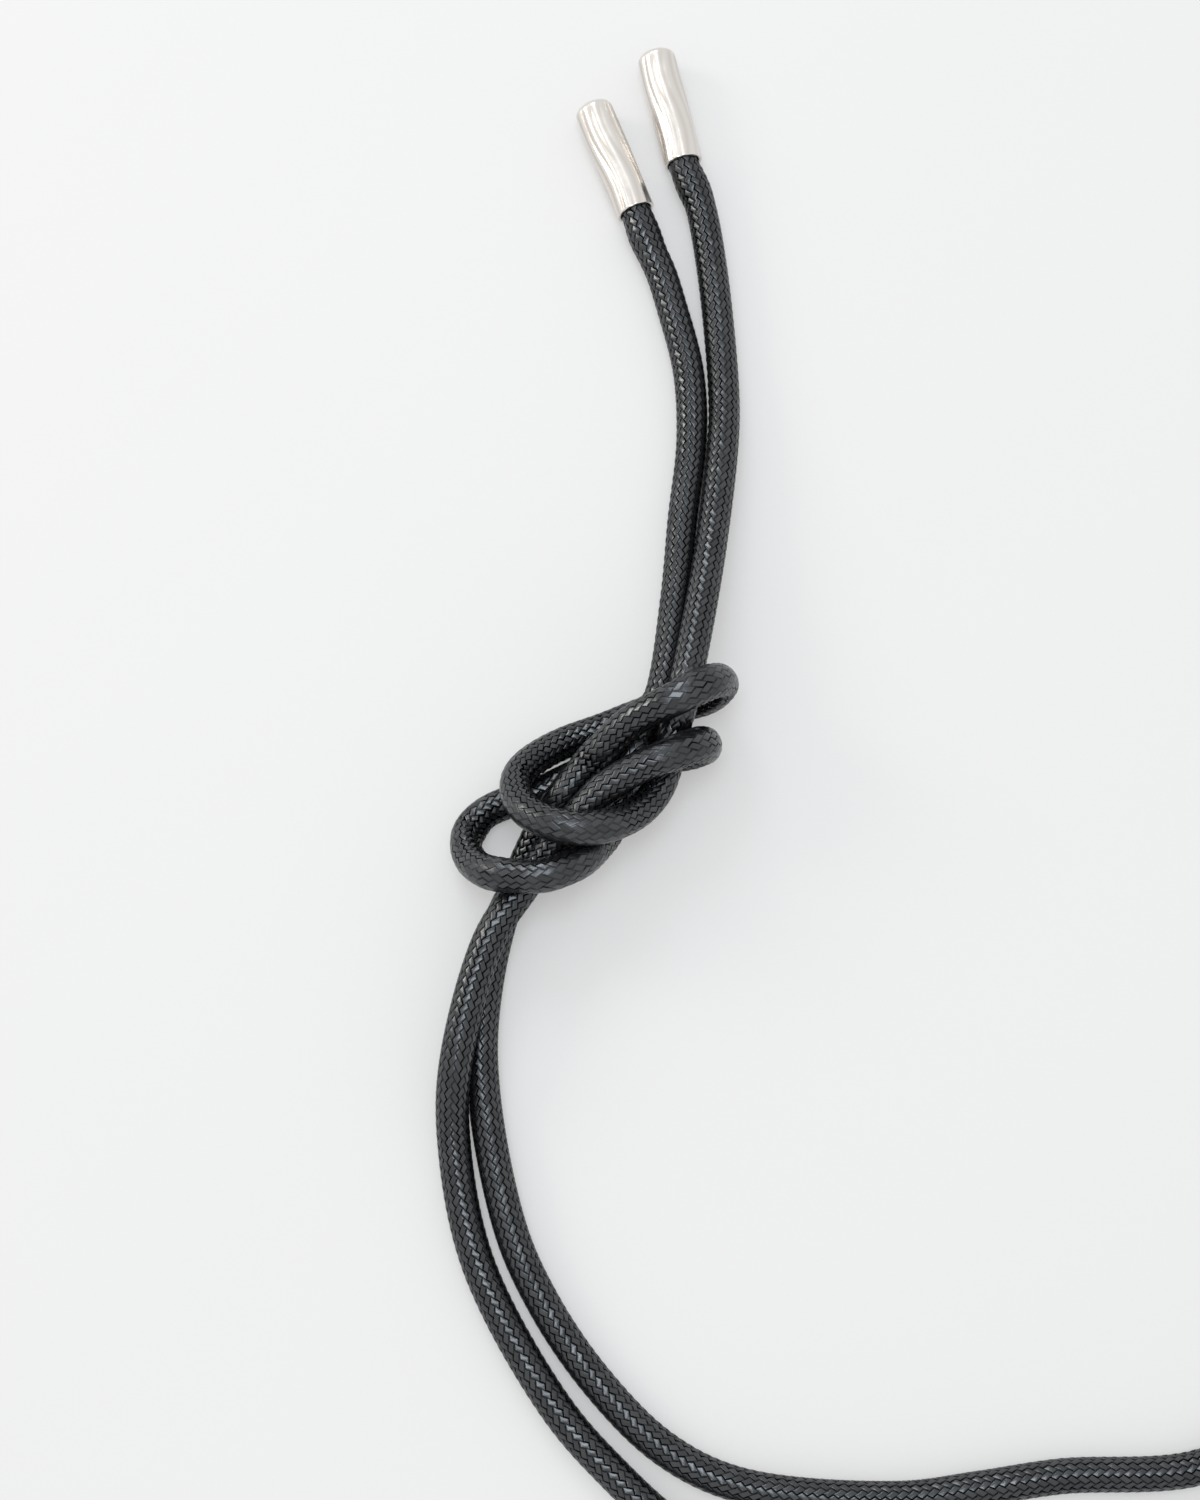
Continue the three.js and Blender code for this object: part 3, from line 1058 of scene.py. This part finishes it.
@dataclass
class EndCap:
    """A silver cap on one end of the cord: a barrel tube with wavy flutes, a blunt tip and an open mouth."""

    name: str
    node: str
    mouth: tuple[float, float]
    heading: float

    # The plain cap
    length: float = 0.0203
    radius: float = 0.0032
    barrel: float = 0.0001
    widest_at: float = 0.4
    tip_depth: float = 0.0017
    tip_squareness: float = 2.6
    bore_radius: float = 0.0028
    bore_depth: float = 0.0173
    lip_radius: float = 0.00018
    lip_opening: float = 0.00256
    lip_height: float = 0.00054

    # Its flutes, which sway from side to side and fade here and there
    flutes: int = 13
    flute_depth: float = 0.00014
    flute_narrowness: float = 1.3
    flute_sway: float = 0.17
    flute_sway_start: float = 0.126
    flute_fade: float = 0.0026
    fade_turns: int = 2
    fade_rise: float = 1.5
    fade_start: float = 1.75
    fade_share: float = 0.6

    # How finely it is turned
    columns_per_flute: int = 18
    side_rows: int = 80
    tip_rows: int = 18
    lip_rows: int = 6

    finish: PolishedSilver = field(default_factory=PolishedSilver)

    def side_radius(self, height: float) -> float:
        """Gives the barrel's radius at a height above the mouth."""
        from_widest = (height / self.length - self.widest_at) / (1 - self.widest_at)
        return self.radius - self.barrel * from_widest**2

    def outline(self) -> np.ndarray:
        """Draws the cap's section from the bottom of its bore, over the lip, to the middle of its tip.

        Returns:
            Rows of radius, height and how much of the flutes shows there.
        """
        lip = self.lip_radius
        side_top = self.length - self.tip_depth
        mouth_radius = self.side_radius(lip)
        top_radius = self.side_radius(side_top)
        rows = [(0.0, self.bore_depth, 0.0)]
        for height in (self.bore_depth, self.bore_depth / 2, self.lip_height):
            rows.append((self.bore_radius, height, 0.0))
        quarter = np.linspace(0, math.pi / 2, self.lip_rows)
        for turn in quarter:
            out = lip * (1 - math.cos(turn))
            up = lip * (1 - math.sin(turn))
            rows.append((self.lip_opening + out, up, 0.0))
        for turn in quarter:
            inset = lip * (1 - math.sin(turn))
            up = lip * (1 - math.cos(turn))
            rows.append((mouth_radius - inset, up, math.sin(turn)))
        for height in np.linspace(lip, side_top, self.side_rows, endpoint=False)[1:]:
            rows.append((self.side_radius(height), height, 1.0))
        for turn in np.linspace(0, math.pi / 2, self.tip_rows):
            across = max(math.cos(turn), 0.0) ** (2 / self.tip_squareness)
            up = math.sin(turn) ** (2 / self.tip_squareness)
            rows.append((top_radius * across, side_top + self.tip_depth * up, 1.0))
        return np.array(rows)

    def sway(self, height: np.ndarray) -> np.ndarray:
        """Gives the angle that the flutes have swayed to at heights above the mouth."""
        return self.flute_sway * np.sin(math.tau * height / self.length + self.flute_sway_start)

    def flute_cut(self, angle: np.ndarray, height: np.ndarray) -> np.ndarray:
        """Gives the flutes' cut, some of them fading along the cap as hand-finished ones do.

        Args:
            angle: Angles about the cap's axis, from its top.
            height: Heights above the mouth.

        Returns:
            The cut as a share of the flutes' depth.
        """
        way = height / self.length
        left = np.clip((self.length - height) / self.flute_fade, 0, 1)
        fade = left * left * (3 - 2 * left)
        turned = self.fade_turns * angle + self.fade_rise * way + self.fade_start
        uneven = 1 - self.fade_share * (1 - np.cos(turned)) / 2
        wave = (1 - np.cos(self.flutes * (angle - self.sway(height)))) / 2
        return fade * uneven * wave**self.flute_narrowness

    def shell(self) -> bpy.types.Object:
        """Turns the outline about the cap's axis, cuts the flutes and lays the cap in its place.

        Returns:
            The cap's mesh object.
        """
        outline = self.outline()
        columns = self.flutes * self.columns_per_flute
        inner = outline[1:-1]
        radius, height, shown = (inner[:, index][:, None] for index in range(3))
        angle = math.tau * np.arange(columns)[None] / columns + self.sway(height)
        cut = shown * self.flute_cut(angle, height)
        radius = radius - self.flute_depth * cut
        rings = np.stack([radius * np.sin(angle), height + 0 * angle, radius * np.cos(angle)], axis=2)
        ends = [(0.0, outline[0, 1], 0.0), (0.0, outline[-1, 1], 0.0)]
        points = np.vstack([rings.reshape(-1, 3), ends])
        number = np.arange(rings.shape[0] * columns).reshape(-1, columns)
        ahead = np.roll(number, -1, axis=1)
        sides = np.stack([number[:-1], ahead[:-1], ahead[1:], number[1:]], axis=2).reshape(-1, 4)
        floor_hub, tip_hub = len(points) - 2, len(points) - 1
        floor = np.stack([np.full(columns, floor_hub), ahead[0], number[0]], axis=1)
        tip = np.stack([np.full(columns, tip_hub), number[-1], ahead[-1]], axis=1)
        cap = self.join(points, sides, np.vstack([floor, tip]))
        turn = Matrix.Rotation(math.radians(self.heading - 90), 4, "Z")
        cap.data.transform(Matrix.Translation((*self.mouth, self.radius)) @ turn)
        layer = cap.data.attributes.new(FLUTE_LAYER, "FLOAT", "POINT")
        layer.data.foreach_set("value", np.concatenate([1 - cut.ravel(), [1.0, 1.0]]).astype(np.float32))
        return cap

    def join(self, points: np.ndarray, sides: np.ndarray, ends: np.ndarray) -> bpy.types.Object:
        """Makes one mesh of the cap's faces, with the four-sided ones halved.

        Args:
            points: The cap's corners.
            sides: The faces of its rings.
            ends: The faces round its two hubs.

        Returns:
            The cap's mesh object.
        """
        halved = np.vstack([sides[:, [0, 1, 2]], sides[:, [0, 2, 3]], ends])
        return make_mesh(self.name, points, halved)

    def build(self) -> bpy.types.Object:
        """Builds, dresses and places the cap.

        Returns:
            The cap's object.
        """
        cap = self.shell()
        cap.data.materials.append(self.finish.material())
        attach(cap, BODY)
        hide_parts(self.node)
        return cap


@dataclass
class Table:
    """The plain table top that the necklace lies on."""

    side: float = 40.0
    finish: PaleTable = field(default_factory=PaleTable)

    def build(self) -> bpy.types.Object:
        """Builds and dresses the table top.

        Returns:
            The table's object.
        """
        reach = self.side / 2
        points = np.array([(-reach, -reach, 0), (reach, -reach, 0), (reach, reach, 0), (-reach, reach, 0)])
        table = make_mesh("table_top", points, np.array([[0, 1, 2, 3]]))
        table.data.materials.append(self.finish.material())
        return table


@dataclass
class Softbox:
    """A square soft light that faces the knot."""

    name: str
    towards: Point
    side: float
    power: float
    colour: Colour
    distance: float = 1.0
    aim: Point = (-0.0828, 0.0071, 0.0)

    def build(self) -> bpy.types.Object:
        """Hangs the light.

        Returns:
            The light's object.
        """
        lamp = bpy.data.lights.new(self.name, "AREA")
        lamp.size = self.side
        lamp.energy = self.power
        lamp.color = self.colour
        light = bpy.data.objects.new(self.name, lamp)
        back = Vector(self.towards).normalized()
        light.location = Vector(self.aim) + back * self.distance
        light.rotation_euler = back.to_track_quat("Z", "Y").to_euler()
        bpy.context.scene.collection.objects.link(light)
        return light


@dataclass
class Studio:
    """The even light of a white room, and the soft lights in it."""

    room: Colour = (1.0, 0.995, 0.985)
    room_strength: float = 0.88

    def softboxes(self) -> list[Softbox]:
        """Gives the soft lights: a warm one low at the left, a cool one overhead and a small one beyond.

        Returns:
            The lights, not yet hung.
        """
        warm = Softbox(
            name="warm_softbox",
            towards=(-0.82, 0.38, 0.43),
            side=0.32,
            power=2.6,
            colour=(1.0, 0.94, 0.85),
        )
        cool = Softbox(
            name="cool_softbox",
            towards=(-0.04, 0.0, 0.999),
            side=0.42,
            power=3.14,
            colour=(0.88, 0.94, 1.0),
        )
        far = Softbox(
            name="far_softbox",
            towards=(-0.22, 0.73, 0.65),
            side=0.3,
            power=1.8,
            colour=(0.92, 0.96, 1.0),
        )
        return [warm, cool, far]

    def build(self) -> list[bpy.types.Object]:
        """Lights the room and sets plain colours for the picture.

        Returns:
            The lights' objects.
        """
        scene = bpy.context.scene
        world = bpy.data.worlds.new("white_room")
        world.use_nodes = True
        light = world.node_tree.nodes["Background"]
        light.inputs["Color"].default_value = (*self.room, 1.0)
        light.inputs["Strength"].default_value = self.room_strength
        scene.world = world
        scene.view_settings.view_transform = "Standard"
        return [softbox.build() for softbox in self.softboxes()]


@dataclass
class PhotoCamera:
    """The camera above the knot, tipped a little towards the viewer."""

    target: Point = (-0.0828, 0.0071, 0.0025)
    distance: float = 0.38
    tip: float = 13.0
    lens: float = 59.1
    sensor: float = 36.0
    nearest: float = 0.01

    def build(self) -> bpy.types.Object:
        """Places the camera and makes it the scene's own.

        Returns:
            The camera's object.
        """
        view = bpy.data.cameras.new("camera")
        view.lens = self.lens
        view.sensor_width = self.sensor
        view.clip_start = self.nearest
        camera = bpy.data.objects.new("camera", view)
        tip = math.radians(self.tip)
        camera.location = Vector(self.target) + self.distance * Vector((0, -math.sin(tip), math.cos(tip)))
        camera.rotation_euler = (tip, 0, 0)
        bpy.context.scene.collection.objects.link(camera)
        bpy.context.scene.camera = camera
        return camera


def main() -> None:
    """Builds the camera, the necklace's pieces, the table and the lights in order."""
    logging.basicConfig(level=logging.INFO, format="%(message)s")
    PhotoCamera().build()
    pieces: list[BraidedCord | EndCap | Table] = [
        BraidedCord(),
        EndCap("cap_left", "end_cap_left", LEFT_MOUTH, LEFT_HEADING),
        EndCap("cap_right", "end_cap_right", RIGHT_MOUTH, RIGHT_HEADING),
        Table(),
    ]
    for piece in pieces:
        made = piece.build()
        log.info("%s: %d faces", made.name, len(made.data.polygons))
    for light in Studio().build():
        log.info("%s hung", light.name)


if __name__ == "__main__":
    main()
